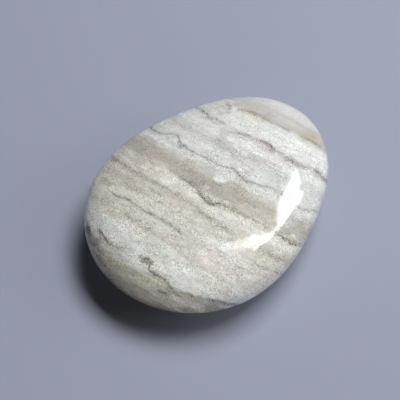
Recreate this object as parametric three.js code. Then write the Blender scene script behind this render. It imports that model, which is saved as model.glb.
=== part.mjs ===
// A polished palm stone of banded ocean jasper: one natural piece of stone, egg-shaped from
// above, gently domed on top, rounder below, and worn to a small flat that it rests on.
// Millimetres, +Z up, +X along the stone towards its narrow end. The origin is on the plane
// that the stone rests on, under the middle of its length and width.

import * as THREE from "three";

// The stone's overall size.
const LENGTH = 63;
const WIDTH = 49;
const THICKNESS = 21;

// The outline from above is an ellipse, pushed in and out by three gentle waves around it.
// Each height is a share of the outline's radius.
const BLUNTING = 0.08; // two waves: fills the ends and flattens the long sides
const EGG = 0.041; // three waves: one end broad, the other narrow
const EGG_LEAN = THREE.MathUtils.degToRad(7); // turns the narrow end off the long axis
const SHOULDERS = 0.006; // four waves: slightly square

// The section, from the middle outwards.
const GIRDLE_HEIGHT = 0.46 * THICKNESS; // where the stone is widest
const FOOT_SHARE = 0.3; // the resting flat's radius, as a share of the outline's
const DOME_FULLNESS = 2.5; // 2 is an ellipse, and more is a flatter top with a tighter shoulder
const BELLY_FULLNESS = 2.2;

// Hand polishing leaves the form a little uneven.
const TAPER = 0.04; // the narrow end is thinner by this share, and the broad end thicker
const SWELL_HEIGHT = 0.3; // a long, low wave across the dome and the belly
const SWELL_LENGTH = 44; // from one crest of the wave to the next
const SWELL_HEADING = THREE.MathUtils.degToRad(60); // from +X, the way that the wave runs

// How finely the form is faceted.
const SEGMENTS_AROUND = 72;
const DOME_STEPS = 18;
const BELLY_STEPS = 13;

// A point on a quarter of a superellipse, from out 1 at turn 0 to up 1 at a quarter turn.
function quarter(turn, fullness) {
  return {
    out: Math.cos(turn) ** (2 / fullness),
    up: Math.sin(turn) ** (2 / fullness),
  };
}

// Half of the section: from the foot's centre, up the belly to the girdle and over the dome.
// The distance from the axis is a share of the outline's, and the height is real.
function sectionPoints() {
  const points = [new THREE.Vector2(0, 0)];
  for (let step = 0; step < BELLY_STEPS; step++) {
    const { out, up } = quarter((1 - step / BELLY_STEPS) * Math.PI / 2, BELLY_FULLNESS);
    points.push(new THREE.Vector2(FOOT_SHARE + (1 - FOOT_SHARE) * out, GIRDLE_HEIGHT * (1 - up)));
  }
  for (let step = 0; step < DOME_STEPS; step++) {
    const { out, up } = quarter(step / DOME_STEPS * Math.PI / 2, DOME_FULLNESS);
    points.push(new THREE.Vector2(out, GIRDLE_HEIGHT + (THICKNESS - GIRDLE_HEIGHT) * up));
  }
  points.push(new THREE.Vector2(0, THICKNESS));
  return points;
}

// How far the outline is pushed out, as a share, in the direction at this angle from +X.
function outlineReach(angle) {
  return (
    1 +
    BLUNTING * Math.cos(2 * angle) +
    EGG * Math.cos(3 * (angle - EGG_LEAN)) +
    SHOULDERS * Math.cos(4 * angle)
  );
}

// Moves a point of the round form, whose outline has radius 1, to its place on the stone.
function shapePoint(point) {
  const reach = outlineReach(Math.atan2(point.y, point.x));
  point.x *= reach;
  point.y *= reach;
  const along = point.x * Math.cos(SWELL_HEADING) + point.y * Math.sin(SWELL_HEADING);
  const phase = 2 * Math.PI * along * (LENGTH / 2) / SWELL_LENGTH;
  point.z *= 1 - TAPER * point.x + SWELL_HEIGHT / THICKNESS * Math.sin(phase);
}

// Brings the form to the stone's overall size, and its middle over the origin.
function fitToSize(geometry) {
  geometry.computeBoundingBox();
  const size = geometry.boundingBox.getSize(new THREE.Vector3());
  geometry.scale(LENGTH / size.x, WIDTH / size.y, THICKNESS / size.z);
  geometry.computeBoundingBox();
  const middle = geometry.boundingBox.getCenter(new THREE.Vector3());
  geometry.translate(-middle.x, -middle.y, 0);
}

function makeStone() {
  const geometry = new THREE.LatheGeometry(sectionPoints(), SEGMENTS_AROUND);
  geometry.rotateX(Math.PI / 2);
  const positions = geometry.getAttribute("position");
  const point = new THREE.Vector3();
  for (let index = 0; index < positions.count; index++) {
    point.fromBufferAttribute(positions, index);
    shapePoint(point);
    positions.setXYZ(index, point.x, point.y, point.z);
  }
  fitToSize(geometry);
  geometry.computeVertexNormals();
  const jasper = new THREE.MeshStandardMaterial({ color: 0xc9c6bd, roughness: 0.12, metalness: 0 });
  const stone = new THREE.Mesh(geometry, jasper);
  stone.name = "stone";
  return stone;
}

const palmStone = new THREE.Group();
palmStone.add(makeStone());

export default palmStone;
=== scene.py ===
from math import cos, radians, sin

import bpy
from mathutils import Matrix, Vector


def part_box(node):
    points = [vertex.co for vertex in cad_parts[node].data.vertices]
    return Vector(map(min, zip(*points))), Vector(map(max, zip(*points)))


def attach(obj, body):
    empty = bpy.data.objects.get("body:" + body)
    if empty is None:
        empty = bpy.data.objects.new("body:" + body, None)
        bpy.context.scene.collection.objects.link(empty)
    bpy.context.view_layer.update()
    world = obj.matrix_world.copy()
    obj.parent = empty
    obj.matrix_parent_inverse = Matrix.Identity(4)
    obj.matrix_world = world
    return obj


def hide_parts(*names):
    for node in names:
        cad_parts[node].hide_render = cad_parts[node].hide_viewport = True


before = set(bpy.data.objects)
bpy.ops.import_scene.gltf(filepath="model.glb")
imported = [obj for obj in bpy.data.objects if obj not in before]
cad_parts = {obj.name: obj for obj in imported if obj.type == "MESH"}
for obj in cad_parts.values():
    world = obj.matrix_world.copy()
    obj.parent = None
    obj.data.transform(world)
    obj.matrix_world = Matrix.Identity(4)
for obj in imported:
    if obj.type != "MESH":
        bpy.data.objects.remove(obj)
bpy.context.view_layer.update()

# --- The stone ---------------------------------------------------------------------------
# One piece of banded ocean jasper, a silica rock laid down in thin, pale beds. It was sawn to a
# blank, ground by hand to a pebble that fills a palm, tumbled smooth and buffed to a glassy polish.

MM = 0.001
FACET_MERGE = 0.01 * MM
ROUNDING_STEPS = 2
SKIN_CUTS = 63

foot_corner, crown_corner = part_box("stone")
stone_size = crown_corner - foot_corner
stone_middle = (crown_corner + foot_corner) / 2

# The ground form: the solid's facets, rounded off.
bpy.ops.object.select_all(action="DESELECT")
ground_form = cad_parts["stone"].copy()
ground_form.data = ground_form.data.copy()
ground_form.parent = None
bpy.context.collection.objects.link(ground_form)
ground_form.select_set(True)
bpy.context.view_layer.objects.active = ground_form
bpy.ops.object.mode_set(mode="EDIT")
bpy.ops.mesh.select_all(action="SELECT")
bpy.ops.mesh.remove_doubles(threshold=FACET_MERGE)
bpy.ops.mesh.tris_convert_to_quads()
bpy.ops.object.mode_set(mode="OBJECT")
rounding = ground_form.modifiers.new("rounding", "SUBSURF")
rounding.levels = ROUNDING_STEPS
rounding.render_levels = ROUNDING_STEPS
bpy.ops.object.modifier_apply(modifier=rounding.name)

# The polished skin starts as a cube, so its faces are even all over and it has no pinched poles.
bpy.ops.object.select_all(action="DESELECT")
bpy.ops.mesh.primitive_cube_add(size=1, location=stone_middle)
stone = bpy.context.object
stone.name = "polished_stone"
bpy.ops.object.mode_set(mode="EDIT")
bpy.ops.mesh.select_all(action="SELECT")
bpy.ops.mesh.subdivide(number_cuts=SKIN_CUTS)
bpy.ops.transform.tosphere(value=1)
bpy.ops.object.mode_set(mode="OBJECT")
stone.scale = stone_size
bpy.ops.object.transform_apply(location=True, rotation=True, scale=True)
wrap = stone.modifiers.new("wrap", "SHRINKWRAP")
wrap.target = ground_form
bpy.ops.object.modifier_apply(modifier=wrap.name)
bpy.ops.object.shade_smooth()
bpy.data.objects.remove(ground_form)

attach(stone, "root")
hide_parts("stone")


class Shade:
    """A value in a material's nodes. Python arithmetic on it adds the Math nodes."""

    def __init__(self, socket):
        self.socket = socket

    def node(self, kind, settings, inputs, output=0):
        """Add a node: its settings first, then the values or links of its sockets."""
        tree = self.socket.id_data
        node = tree.nodes.new(kind)
        for name, setting in settings.items():
            if name == "stops":
                ramp = node.color_ramp
                ramp.elements[1].position = 1
                for place, colour in setting[1:-1]:
                    ramp.elements.new(place)
                for stop, (place, colour) in zip(ramp.elements, setting):
                    stop.position = place
                    stop.color = colour
            elif name == "points":
                curve = node.mapping.curves[0]
                curve.points[0].location = setting[0]
                curve.points[1].location = setting[-1]
                for place in setting[1:-1]:
                    curve.points.new(*place)
                node.mapping.update()
            else:
                setattr(node, name, setting)
        for name, value in inputs.items():
            if isinstance(value, Shade):
                tree.links.new(value.socket, node.inputs[name])
            else:
                node.inputs[name].default_value = value
        return Shade(node.outputs[output])

    def reckon(self, operation, first, second=0.0):
        return self.node("ShaderNodeMath", {"operation": operation}, {0: first, 1: second})

    def __add__(self, other):
        return self.reckon("ADD", self, other)

    def __sub__(self, other):
        return self.reckon("SUBTRACT", self, other)

    def __rsub__(self, other):
        return self.reckon("SUBTRACT", other, self)

    def __mul__(self, other):
        return self.reckon("MULTIPLY", self, other)

    def __truediv__(self, other):
        return self.reckon("DIVIDE", self, other)

    __radd__ = __add__
    __rmul__ = __mul__

    def __abs__(self):
        return self.reckon("ABSOLUTE", self)

    def between(self, start, end, low=0.0, high=1.0):
        """Low at start, high at end, with an easy curve from one to the other."""
        settings = {"interpolation_type": "SMOOTHSTEP"}
        inputs = {"Value": self, "From Min": start, "From Max": end, "To Min": low, "To Max": high}
        return self.node("ShaderNodeMapRange", settings, inputs)

    def blend(self, under, over, blend_type="MIX"):
        """A colour: under where this mask is 0, and under with over on it where it is 1."""
        factor, first_colour, second_colour, mixed_colour = 0, 6, 7, 2
        settings = {"data_type": "RGBA", "blend_type": blend_type}
        inputs = {factor: self, first_colour: under, second_colour: over}
        return self.node("ShaderNodeMix", settings, inputs, mixed_colour)

    def part(self, axis):
        """One number of a vector or a colour: X, Y or Z."""
        return self.node("ShaderNodeSeparateXYZ", {}, {"Vector": self}, axis)

    def feed(self, socket_name):
        """Let this value drive a socket of the stone's shader."""
        self.socket.id_data.links.new(self.socket, polish.inputs[socket_name])


jasper = bpy.data.materials.new("banded_jasper")
jasper.use_nodes = True
polish = jasper.node_tree.nodes["Principled BSDF"]
stone.data.materials.append(jasper)

# The beds dip steeply through the stone. Bedding coordinates, in millimetres: along the beds to
# one end of the stone, across them, and the level, which counts up through the layers.
BED_HEADING = radians(16.6)
BED_TILT = radians(60.7)
bed_turn = Matrix.Rotation(BED_TILT, 3, "X") @ Matrix.Rotation(radians(90) - BED_HEADING, 3, "Z")
place = Shade(jasper.node_tree.nodes.new("ShaderNodeTexCoord").outputs["Object"])
turned = {"Vector": place, "Rotation": bed_turn.to_euler(), "Scale": (1 / MM, 1 / MM, 1 / MM)}
bedding = place.node("ShaderNodeMapping", {}, turned)
along = bedding.part("X")
true_level = bedding.part("Z")
height = place.part("Z")


def cloud(along_size, level_size, seed, detail=2.0, roughness=0.5, swirl=0.0):
    """Soft noise from 0 to 1 with forms of this size in mm, stretched along the beds."""
    shrink = (1 / along_size, 1 / along_size, 1 / level_size)
    shift = [seed * step for step in (3.7, 5.3, 7.9)]
    settings = {"operation": "MULTIPLY_ADD"}
    spread = bedding.node("ShaderNodeVectorMath", settings, {0: bedding, 1: shrink, 2: shift})
    look = {"Scale": 1.0, "Detail": detail, "Roughness": roughness, "Distortion": swirl}
    return spread.node("ShaderNodeTexNoise", {}, {"Vector": spread, **look})


# The beds settled unevenly, in mm: they roll a little everywhere, and wander more near the foot.
ROLL = 0.6
FOOT_ROLL = 9
RIPPLE = 2.8
near_foot = (height / MM).between(9, 2)
roll = (cloud(19, 26, 1) - 0.5) * (ROLL + near_foot * FOOT_ROLL)
ripple = (cloud(3.4, 2.0, 2, detail=2.2, roughness=0.55, swirl=0.6) - 0.5) * RIPPLE
level = true_level + roll
rough_level = level + ripple


def tint(red, green, blue, sugar=0.6):
    """A stone colour in display steps of 0 to 255, made linear, and how sugary its grain shows."""
    return tuple(((step / 255 + 0.055) / 1.055) ** 2.4 for step in (red, green, blue)) + (sugar,)


FROST = tint(231, 232, 228, sugar=1.0)
CHALK = tint(227, 228, 226, sugar=0.65)
MILK = tint(216, 217, 216, sugar=0.7)
GLASS = tint(211, 211, 212, sugar=0.1)
HUSK = tint(195, 194, 192, sugar=0.1)
DOVE = tint(203, 203, 200, sugar=0.6)
OAT = tint(221, 218, 210, sugar=0.9)
CREAM = tint(212, 208, 199, sugar=0.9)
TAUPE = tint(183, 178, 169, sugar=0.45)
REED = tint(213, 209, 193, sugar=0.9)
FLAX = tint(240, 232, 216, sugar=0.7)
# Painted shade: a dark brown for the lowest beds, darkening the lower rim where it turns from the
# light.
PAINTED_RIM_SHADE = tint(163, 151, 130, sugar=0.6)
MOSS = tint(150, 147, 130)
SLATE = tint(138, 141, 138)
ASH = tint(148, 144, 139)
BARK = tint(148, 142, 128)
UMBER = tint(128, 125, 117)

# The layers, from the lowest up: each colour holds at its level, and they shade into each other.
LAYERS = [
    # The lowest two layers are painted shade on the lower rim.
    (-27, PAINTED_RIM_SHADE), (-21.8, PAINTED_RIM_SHADE), (-19, FLAX), (-17.2, REED), (-15.7, REED),
    (-15.1, MILK), (-13.8, FROST), (-12, FROST), (-9, FROST), (-7.5, OAT),
    (-6, CREAM), (-4.6, OAT), (-2.5, OAT), (-0.8, CREAM), (1.2, CREAM), (2.4, CREAM),
    (3.4, OAT), (6.0, OAT), (6.6, TAUPE), (9.2, TAUPE), (10.6, DOVE), (11.6, MILK),
    (13, MILK), (15.3, MILK), (17, DOVE), (19.2, CHALK), (20.8, MILK), (22.6, CHALK),
    (26.4, CHALK), (27.4, HUSK), (29.5, HUSK), (30.6, GLASS),
]
LOWEST = LAYERS[0][0]
DEPTH = LAYERS[-1][0] - LOWEST
stops = [((layer - LOWEST) / DEPTH, colour) for layer, colour in LAYERS]
ramp = level.node("ShaderNodeValToRGB", {"stops": stops}, {"Fac": (rough_level - LOWEST) / DEPTH})
sugar = Shade(ramp.socket.node.outputs["Alpha"])
colour = ramp


# Patches of other colour cloud the beds, frayed along the layers. Most are the stone's own stains;
# some are painted: painted shade that darkens the lower rim, and a painted glow beside the gleam.
FRAY = 0.6
PATCH_RIM = 1.3
PATCH_HEART = 0.2
frayed_along = along + ripple * (FRAY * 2)
frayed_level = level + ripple * FRAY


def colour_patch(colour, along_place, level_place, length, depth, shade, strength):
    """Cloud a stretch of the beds, centred here and this long and deep, with another colour."""
    aside = (frayed_along - along_place) / (length / 2)
    beyond = (frayed_level - level_place) / (depth / 2)
    mask = (aside * aside + beyond * beyond).between(PATCH_RIM, PATCH_HEART, 0, strength)
    return mask.blend(colour, shade)


# Each patch: its place along the beds and its level, its length and depth, its shade, its strength.
STAINS_AND_PAINTED_LIGHT = [
    (13, 28.3, 7, 2.8, tint(188, 183, 168), 0.7),
    (4.5, 29, 8, 2.4, tint(205, 199, 198), 0.5),
    (-11, 24, 10, 5, DOVE, 0.7),
    (-4, 27.2, 8, 2, HUSK, 0.8),
    (-4, 19.4, 2.2, 4.5, DOVE, 0.8),
    (5.4, 17.9, 5, 1.8, tint(194, 192, 188), 0.8),
    (2.4, 16, 4, 1.8, tint(196, 195, 191), 0.5),
    (6, 14.3, 4.5, 1.8, tint(196, 195, 192), 0.6),
    (10, 12.1, 4, 1.6, DOVE, 0.5),
    (11.5, 16, 5, 3, DOVE, 0.6),
    (13, 21.1, 6, 1.8, tint(196, 193, 182), 0.7),
    (-2, 17.2, 8, 2, tint(193, 191, 186), 0.7),
    (-16, 17.6, 10, 2.2, tint(193, 193, 191), 0.5),
    (-8, 15.4, 9, 2.0, CHALK, 0.5),
    (-18, 10.7, 6, 1.4, tint(190, 188, 184), 0.8),
    (6, 10.2, 6, 2.4, TAUPE, 0.8),
    (-1, 7.6, 14, 3.2, tint(177, 168, 159), 0.6),
    (7.5, 9, 5, 1.8, tint(172, 167, 156), 0.5),
    (1.5, 9, 3, 1, tint(168, 164, 160), 0.7),
    (-18, 8.2, 12, 3, tint(180, 172, 165), 0.5),
    (12, 7.2, 12, 2.4, CREAM, 0.5),
    # A painted glow: this paler patch lightens the taupe bed beside the gleam.
    (18, 8.5, 5, 3.4, DOVE, 0.8),
    (1.4, 10.2, 2.8, 1.7, CHALK, 1),
    (0.2, 7.3, 1.6, 1.2, MILK, 0.6),
    (-12, 7.0, 5, 1.4, OAT, 0.4),
    (-23, 5.5, 5, 3, TAUPE, 0.5),
    (12, 3.6, 16, 2.2, CHALK, 0.7),
    (-17, -0.2, 14, 3, tint(198, 192, 182), 0.6),
    (-21, -2.4, 4, 1.6, TAUPE, 0.6),
    (-14, 4.6, 9, 2.0, tint(205, 197, 189), 0.5),
    (-18, 5.4, 6, 2.6, tint(180, 172, 165), 0.5),
    (10, 4, 4, 1.8, tint(208, 204, 196), 0.5),
    (-10, -0.6, 3.4, 2.4, OAT, 0.6),
    (-10, -6, 4, 2, OAT, 0.6),
    (-15, -7.8, 5, 1.6, tint(202, 195, 187), 0.45),
    (13, -2.6, 16, 4, CHALK, 0.6),
    (14, -5.6, 18, 4, tint(230, 224, 221, sugar=0.9), 0.8),
    (14, -9.8, 12, 1.6, OAT, 0.6),
    (10, -10.2, 5, 1.8, tint(206, 202, 194), 0.6),
    (-6.8, -14.5, 13, 2.2, tint(233, 231, 225, sugar=1.0), 0.8),
    (6, -11.8, 20, 5, tint(238, 238, 232), 0.6),
    (0, -8.5, 12, 3, FROST, 0.7),
    (7.2, -13.4, 9, 3, tint(240, 240, 235, sugar=1.0), 1),
    (-2.3, -12.7, 3.2, 1.6, tint(160, 157, 144), 0.9),
    (-19.1, -13.8, 2, 1.8, tint(112, 109, 103), 0.9),
    # Partly a real blot, partly painted shade that darkens the lower-left rim.
    (-17, -14.8, 7, 3, tint(158, 155, 144), 0.7),
    (1.2, -15.4, 6, 2.2, REED, 0.9),
    (3.8, -17.2, 2.6, 1, tint(140, 136, 122), 0.6),
    (8.3, -16.9, 7, 1.5, tint(250, 243, 228), 1),
    # These last five patches are painted shade: they darken the lower rim where it turns from the
    # light.
    (15, -16, 4.5, 3.6, tint(148, 143, 130), 0.8),
    (-15, -18.6, 9, 3.6, tint(160, 152, 137), 0.7),
    (11, -18.8, 6, 2.6, tint(160, 152, 136), 0.7),
    (6, -20.8, 8, 2.8, tint(128, 118, 101), 0.7),
    (-11, -20.8, 9, 2.6, tint(134, 124, 107), 0.6),
]
for patch in STAINS_AND_PAINTED_LIGHT:
    colour = colour_patch(colour, *patch)

# Seams run along the beds. A seam is ragged and thins out in places, with a faint haze beside it.
# LEFT and SPAN are the stretch along the beds, in mm, that their curves cover.
LEFT = -27
SPAN = 54
RAG = 1.5
RAG_ALONG = 1.2
HAZE = 0.4
SEAM_STRENGTH = 0.8
HAZE_STRENGTH = 0.35
ragged_level = level + (cloud(1.1, 0.7, 5, detail=4, roughness=0.7) - 0.5) * RAG
ragged_along = along + (cloud(2.0, 2.0, 6) - 0.5) * RAG_ALONG
reach = (ragged_along - LEFT) / SPAN
thinning = cloud(1.1, 0.7, 7, detail=3, roughness=0.7).between(0.30, 0.62, 0.25, 1)


def vein(colour, shade, above, below, route):
    """Draw a seam along (along, level, strength) points, this deep above and below them."""
    path = [((spot - LEFT) / SPAN, (layer - LOWEST) / DEPTH) for spot, layer, force in route]
    forces = [((spot - LEFT) / SPAN, force) for spot, layer, force in route]
    seam_level = reach.node("ShaderNodeFloatCurve", {"points": path}, {"Value": reach})
    strength = reach.node("ShaderNodeFloatCurve", {"points": forces}, {"Value": reach})
    off = ragged_level - (seam_level * DEPTH + LOWEST)
    seam = off.between(above, 0) * off.between(-below, 0) * thinning
    haze = off.between(above * 2 + HAZE, 0) * off.between(-below * 2 - HAZE, 0)
    mask = (seam * SEAM_STRENGTH + haze * HAZE_STRENGTH) * strength
    return mask.blend(colour, shade)


# Each vein: its shade, its depth above and below its line, and the line's points.
VEINS = [
    # The lower edge of the taupe bed.
    (TAUPE, 2.0, 0.3, [
        (-6, 6.4, 0), (-4, 6.2, 0.7), (-1, 5.6, 1), (1, 4.7, 1), (3, 4.5, 1), (6, 4.9, 1),
        (9, 5.4, 0.8), (16, 5.6, 0.6), (22, 5, 0.9), (25, 5, 0.9),
    ]),
    (UMBER, 0.4, 0.35, [
        (-7, 6.6, 0), (-5.4, 6.5, 0.5), (-3, 6.3, 0.6), (-0.8, 5.5, 0.6), (0.9, 4.8, 0.8),
        (3, 4.5, 1), (4.2, 5.3, 0.7), (5.9, 5.5, 0.5), (8, 5.8, 0.3), (12, 5.8, 0.3),
        (16, 5.7, 0.4), (19, 5.4, 0.6), (21, 5.0, 1), (23, 4.9, 0.5),
    ]),
    # The long seam across the middle, and its hook.
    (SLATE, 0.4, 0.4, [
        (-23, 13, 0.6), (-18, 12.9, 0.9), (-16, 13.4, 0.7), (-12.9, 14.2, 0.9),
        (-11.7, 13.4, 1), (-10, 12.9, 0.9), (-7, 12.7, 0.7), (-5, 12.8, 0.7), (0, 12.9, 0.6),
        (2.8, 13.5, 0.7), (5, 12.7, 0.8), (6.5, 12.5, 0.8), (9.7, 13.1, 0.7), (12.6, 13.5, 0.6),
        (15, 13.4, 0.5), (19, 12.6, 0.6), (21, 12.8, 0.5), (22, 13.4, 0.5), (25, 13, 0),
    ]),
    (SLATE, 0.35, 0.3, [
        (-12.4, 13.6, 0), (-11.5, 12.8, 0.9), (-10.6, 12.3, 0.8), (-9.8, 12.2, 0),
    ]),
    # The edge of the cap.
    (tint(152, 149, 124), 0.6, 0.9, [
        (-6, 25.9, 0), (-4.4, 26.4, 0.7), (-2.4, 26.8, 0.7), (0.3, 26.9, 0.4), (3, 27, 0.25),
        (6.5, 27.2, 0.2), (9.2, 27.5, 0.25), (12, 27.4, 0.6), (14.8, 27.1, 0.6),
        (20, 26.4, 0.5),
    ]),
    (BARK, 0.35, 0.8, [
        (-2, 26.8, 0), (0.3, 27, 0.5), (2.8, 27, 0.5), (4.8, 27.1, 0.3), (6.3, 27.2, 0.6),
        (8, 27.4, 0.1), (12, 27.3, 0),
    ]),
    (tint(170, 162, 158), 0.9, 0.9, [
        (-10.8, 27.2, 0), (-9.5, 26.3, 0.5), (-8, 25.7, 0.8), (-7, 25, 0.5), (-6, 24.6, 0),
    ]),
    # The seam between the two white beds.
    (ASH, 0.5, 0.7, [
        (-3.8, 20.5, 0), (-2, 21, 0.6), (-0.5, 21.5, 0.7), (2.4, 21.8, 0.7), (5.5, 22.1, 1),
        (7, 21.9, 1), (9.2, 21.6, 0.6), (11.6, 21.4, 0.9), (14.6, 21.1, 0.8), (16, 21.5, 0.4),
        (18, 21.6, 1), (19.6, 21, 1), (22, 20.3, 0.8),
    ]),
    (tint(160, 152, 147), 0.3, 1.1, [
        (3.5, 22, 0), (5.2, 22, 0.7), (7, 21.6, 0.7), (8.4, 21.3, 0),
    ]),
    (ASH, 0.5, 0.6, [
        (-20, 21.6, 0.7), (-17, 21.7, 0.9), (-14, 21.8, 0.9), (-11, 21.6, 1), (-9.6, 21.3, 0.6),
        (-8.2, 21.6, 0.8), (-6.8, 21.7, 0.6), (-4.8, 21.5, 0),
    ]),
    # The beds and seams below the taupe one.
    (BARK, 0.6, 0.8, [
        (-25, 2.8, 0.7), (-20, 2.9, 0.7), (-15, 2.7, 0.65), (-9, 2.8, 0.5), (-4, 2.6, 0.45),
        (0, 2.5, 0.5), (3, 1.9, 0.5), (5, 1.7, 0.6), (8, 1.6, 0.55), (10, 1.4, 0.3),
        (14, 1.3, 0.2), (17, 1.1, 0.5), (20, 0.9, 0.5), (23, 0.7, 0.4),
    ]),
    (MOSS, 0.3, 0.4, [
        (-17, -0.6, 0), (-14.5, -0.7, 0.5), (-12.5, -0.3, 0.4), (-10, -0.2, 0.2),
        (-8, -0.5, 0.5), (-6, -0.4, 0.3), (-4, -0.6, 0),
    ]),
    (BARK, 0.4, 0.4, [(-12, 1.2, 0), (-9.5, 1.2, 0.5), (-7, 1, 0)]),
    (BARK, 0.3, 0.35, [
        (-18.5, -3.7, 0), (-16.5, -3.8, 0.9), (-12.8, -3.2, 0.7), (-9.9, -3.6, 0.8),
        (-7.5, -3.5, 0.9), (-5.5, -3.4, 0.6), (-3, -3.4, 0.7), (1, -3.9, 0.5), (5, -4.2, 0.2),
        (9, -4.2, 0.2), (13, -4.3, 0.2), (16, -4.6, 0.4), (18, -4.8, 0.45), (20.5, -4.3, 0.3),
        (23, -4.6, 0.3),
    ]),
    (MOSS, 0.7, 0.7, [(15, -1.6, 0), (19, -2.6, 0.45), (21, -2.4, 0.5), (23, -2.4, 0.3)]),
    (BARK, 0.3, 0.35, [
        (-14, -6.6, 0), (-10, -6.5, 0.5), (-7, -6.8, 0.4), (-4, -6.9, 0.4), (-1, -7, 0.3),
        (3, -7.6, 0.25), (8, -8.4, 0.3), (12, -8.5, 0.2), (15, -8.7, 0.3), (17, -8.6, 0),
    ]),
    (ASH, 0.7, 0.6, [(10, -0.6, 0), (11.1, -0.2, 0.6), (12.2, -0.2, 0)]),
    # The blots in the lower white bed.
    (MOSS, 0.3, 0.8, [
        (-17.5, -12, 0), (-15.6, -12.3, 0.6), (-12.8, -13.3, 1), (-10.5, -13.6, 0.4),
        (-8.5, -12.9, 0.4), (-6.9, -12.2, 0.4), (-5.5, -11.9, 0),
    ]),
    (UMBER, 0.45, 0.45, [
        (-16.4, -12.1, 0), (-15.4, -12.5, 0.9), (-14.4, -12.7, 0.6), (-12.8, -13.3, 1),
        (-12, -13.4, 0.2), (-9.2, -12.9, 0.2), (-6.9, -12.2, 0),
    ]),
    (UMBER, 0.5, 0.6, [
        (-4.6, -12.6, 0), (-3.8, -12.5, 0.5), (-2.6, -12.4, 0.2), (-1.5, -12.6, 0.2),
        (-1.1, -13.4, 0.9), (-0.5, -14.1, 0.8), (0.4, -14.3, 0.8), (1.5, -14.3, 0.9),
        (3.5, -14.4, 0.8), (5, -15.2, 0.6), (6.2, -15.4, 0),
    ]),
    # The dark beds under that white one.
    (tint(148, 144, 133), 0.25, 1.5, [
        (4, -14.6, 0), (5.2, -15.2, 0.5), (6.3, -15.4, 0.55), (7.5, -15.1, 0.6),
        (8.5, -14.6, 0.6), (9.5, -14.4, 0.6), (11, -14.2, 0.6), (12.5, -13.9, 0.65),
        (14, -13.4, 0.9), (17, -12.9, 1), (23, -11.6, 0.8),
    ]),
    (UMBER, 0.4, 0.7, [
        (1.5, -17.8, 0), (2.8, -17.6, 0.35), (3.8, -17.3, 0.45), (5.2, -16.9, 0.2),
        (7, -16.6, 0),
    ]),
    (MOSS, 0.5, 0.5, [
        (-18, -15.2, 0), (-15, -16.2, 0.8), (-12, -16.3, 0.4), (-8, -16.8, 0.4),
        (-4, -16.2, 0.3), (0, -16.5, 0),
    ]),
    (BARK, 0.5, 0.7, [
        (-14, -18.3, 0), (-10, -18.8, 0.4), (-5, -19.2, 0.2), (0, -18.9, 0.4), (5, -19.2, 0.2),
        (10, -18.4, 0.3), (14, -17, 0.2),
    ]),
    # A pale bed that parts them.
    (tint(252, 245, 232), 0.3, 0.35, [
        (2, -18.6, 0), (3.4, -18.2, 0.5), (5, -17.9, 0.6), (6.5, -17.4, 0.7), (8, -17, 0.9),
        (9.5, -16.7, 1), (10.8, -16.4, 0.7), (12.5, -16, 0),
    ]),
    # A dark blot low on the blunt end.
    (tint(104, 101, 96), 1.2, 1.1, [
        (-20.6, -14.5, 0), (-19.5, -13.7, 0.9), (-18.8, -14, 0.8), (-17.6, -14.6, 0),
    ]),
]
for seam in VEINS:
    colour = vein(colour, *seam)

# Flakes of paler and darker silica lie along the beds, each with a tone and a tint of its own.
FLAKE_CRUMPLE = (2.2, 2.2, 2.2)
FLAKE_SHRINK = (0.3, 0.3, 0.65)
rough = {"Vector": bedding, "Scale": 0.5, "Detail": 3.0}
crumple = bedding.node("ShaderNodeTexNoise", {}, rough, "Color")
creased = {0: crumple, 1: FLAKE_CRUMPLE, 2: bedding}
crumpled = bedding.node("ShaderNodeVectorMath", {"operation": "MULTIPLY_ADD"}, creased)
shrunk = {0: crumpled, 1: FLAKE_SHRINK}
flat = crumpled.node("ShaderNodeVectorMath", {"operation": "MULTIPLY"}, shrunk)
cells = {"Vector": flat, "Scale": 1.0, "Smoothness": 0.25}
flakes = flat.node("ShaderNodeTexVoronoi", {"feature": "SMOOTH_F1"}, cells, "Color")
flake_tone = flakes.part("X") - 0.5
flake_tint = flakes.part("Y")
flake_grain = flakes.part("Z")

# Fine laminae run along the beds, paler silica clots them, and the whole is grained like sugar.
laminae = cloud(6, 0.55, 12, detail=3, roughness=0.6, swirl=0.7) - 0.5
clots = cloud(2.4, 1.5, 13, detail=4, roughness=0.6) - 0.5
curds = cloud(1.1, 0.8, 17, detail=2).between(0.4, 0.62) - 0.5
grains = cloud(0.27, 0.27, 14, detail=1).between(0.3, 0.7) - 0.5
specks = cloud(0.42, 0.42, 18, detail=1).between(0.60, 0.72)
threads = abs(cloud(5.0, 1.9, 22, detail=1.5, roughness=0.4, swirl=1.2) - 0.5)
threads = threads.between(0.055, 0.01) * cloud(2.4, 1.6, 23, detail=2).between(0.44, 0.60)
bloom = 0.45 - Shade(flakes.socket.node.outputs["Distance"])
low_beds = level.between(-12.5, -15.5)
grit = 0.45 + flake_grain * 1.1


def showing(plain, sugary):
    """How strongly a detail shows: this much on glassy silica, and this much more on sugary."""
    return plain + sugar * sugary


brightness = (
    0.98
    + laminae * (0.32 + low_beds * 0.3)
    + clots * showing(0.08, 0.14)
    + flake_tone * showing(0.04, 0.09)
    + curds * showing(0.02, 0.07)
    + bloom * showing(0.05, 0.16)
    - threads * showing(0.08, 0.04)
)
grain = (grains * showing(0.046, 0.273) - specks * showing(0.017, 0.058)) * grit
lit = {0: colour, "Scale": brightness}
colour = colour.node("ShaderNodeVectorMath", {"operation": "SCALE"}, lit)
colour = colour.node("ShaderNodeVectorMath", {"operation": "ADD"}, {0: colour, 1: grain})

# Traces of iron and chlorite blush and green it in soft patches.
BLUSH = tint(255, 253.3, 252.3)
CHLORITE = tint(252.8, 255, 254)
colour = cloud(6, 3.4, 15, detail=1).between(0.42, 0.60).blend(colour, BLUSH, "MULTIPLY")
colour = cloud(6, 3.4, 16, detail=1).between(0.42, 0.60).blend(colour, CHLORITE, "MULTIPLY")
colour = flake_tint.blend(colour, BLUSH, "MULTIPLY")
colour = (1 - flake_tint).blend(colour, CHLORITE, "MULTIPLY")
colour.feed("Base Color")

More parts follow.
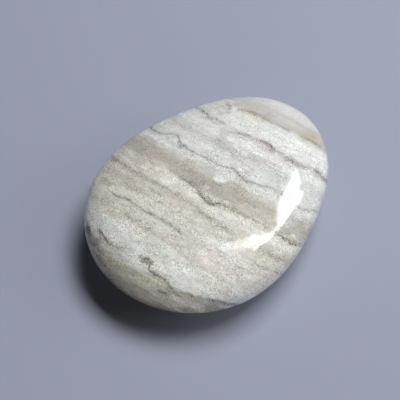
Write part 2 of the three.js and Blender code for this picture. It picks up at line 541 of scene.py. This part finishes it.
# The polish follows the stone's own hardness: the shine ripples a little, and it is a touch
# duller on the dark specks and in sugary patches.
POLISH_RIPPLE = 0.012 * MM
BEST_POLISH = 0.065
POOREST_POLISH = 0.095
SPECK_WEAR = 0.05
SUGAR_WEAR = 0.02
QUARTZ_IOR = 1.54
waves = cloud(1.3, 1.1, 19, detail=2)
waves.node("ShaderNodeBump", {}, {"Height": waves, "Distance": POLISH_RIPPLE}).feed("Normal")
wear = specks * SPECK_WEAR + (1 - thinning) * sugar * SUGAR_WEAR
(waves.between(0.35, 0.65, BEST_POLISH, POOREST_POLISH) + wear).feed("Roughness")
polish.inputs["IOR"].default_value = QUARTZ_IOR

# --- The studio --------------------------------------------------------------------------
# A plain pale floor and soft light, most of it from high on the far right. Five narrow panes,
# seen only in the polish, join into the bent gleam. The camera looks down from high on one side.

VIEW_HEADING = radians(-41.6)
VIEW_ELEVATION = radians(62)
VIEW_DISTANCE = 0.262
LENS = 101.4
NEAREST_SEEN = 0.01
AIM = Vector((-3.021, 1.568, 10.991)) * MM

ahead = Vector((-sin(VIEW_HEADING), cos(VIEW_HEADING), 0))
right = Vector((cos(VIEW_HEADING), sin(VIEW_HEADING), 0))
up = Vector((0, 0, 1))
sight = ahead * cos(VIEW_ELEVATION) - up * sin(VIEW_ELEVATION)


def stand(thing, spot, facing, spin=0):
    """Put a camera or light at this spot, facing this way and rolled by this many degrees."""
    turn = facing.to_track_quat("-Z", "Y").to_matrix().to_4x4()
    thing.matrix_world = Matrix.Translation(spot) @ turn @ Matrix.Rotation(radians(spin), 4, "Z")
    bpy.context.collection.objects.link(thing)


camera_data = bpy.data.cameras.new("camera")
camera_data.lens = LENS
camera_data.clip_start = NEAREST_SEEN
camera = bpy.data.objects.new("camera", camera_data)
stand(camera, AIM - sight * VIEW_DISTANCE, sight)
bpy.context.scene.camera = camera

FLOOR_RADIUS = 0.45
FLOOR_SIDES = 180
FLOOR_BLUE = (0.315, 0.335, 0.425, 1)
FLOOR_ROUGHNESS = 0.9
bpy.ops.mesh.primitive_circle_add(vertices=FLOOR_SIDES, radius=FLOOR_RADIUS, fill_type="NGON")
floor = bpy.context.object
floor.name = "floor"
floor_paint = bpy.data.materials.new("floor")
floor_paint.use_nodes = True
floor_shader = floor_paint.node_tree.nodes["Principled BSDF"]
floor_shader.inputs["Base Color"].default_value = FLOOR_BLUE
floor_shader.inputs["Roughness"].default_value = FLOOR_ROUGHNESS
floor.data.materials.append(floor_paint)

LIGHT_DISTANCE = 0.8
PANE_COLOUR = (0.94, 1, 0.98)


def hang_light(name, azimuth, elevation, width, height, power, spin=0):
    """A rectangular light, seen from the stone at this angle round from the camera's right."""
    azimuth, elevation = radians(azimuth), radians(elevation)
    toward = (right * cos(azimuth) + ahead * sin(azimuth)) * cos(elevation) + up * sin(elevation)
    light_data = bpy.data.lights.new(name, "AREA")
    light_data.shape = "RECTANGLE"
    light_data.size = width
    light_data.size_y = height
    light_data.energy = power
    light = bpy.data.objects.new(name, light_data)
    stand(light, toward * LIGHT_DISTANCE, -toward, spin)
    return light


for soft_light in (
    hang_light("soft_box", 44, 66, 0.44, 0.26, 6.7),
    hang_light("right_fill", -1, 33, 0.5, 0.3, 1.2),
    hang_light("low_fill", -42, 7, 0.3, 0.16, 1.2),
    hang_light("left_fill", -105, 7, 0.3, 0.16, 0.55),
):
    soft_light.visible_glossy = False
for pane in (
    hang_light("high_pane", 16.5, 42.4, 0.166, 0.234, 1.2, spin=-59),
    hang_light("side_pane", 11.8, 31.5, 0.05, 0.085, 0.12),
    hang_light("neck_pane", 0.7, 50.1, 0.061, 0.26, 0.35, spin=40),
    hang_light("low_pane", 3.2, 62, 0.096, 0.48, 0.85, spin=-7),
    hang_light("mid_pane", -0.7, 59.7, 0.12, 0.21, 0.4, spin=-27),
):
    pane.visible_diffuse = False
    pane.data.color = PANE_COLOUR

# The pale wall all round is there for the eye alone: it throws no light into the shadow.
WALL_BLUE = (0.31, 0.33, 0.4, 1)
world = bpy.data.worlds.new("pale_wall")
world.use_nodes = True
world.node_tree.nodes["Background"].inputs["Color"].default_value = WALL_BLUE
world.cycles_visibility.diffuse = False
world.cycles_visibility.glossy = False
bpy.context.scene.world = world
bpy.context.scene.view_settings.view_transform = "Standard"
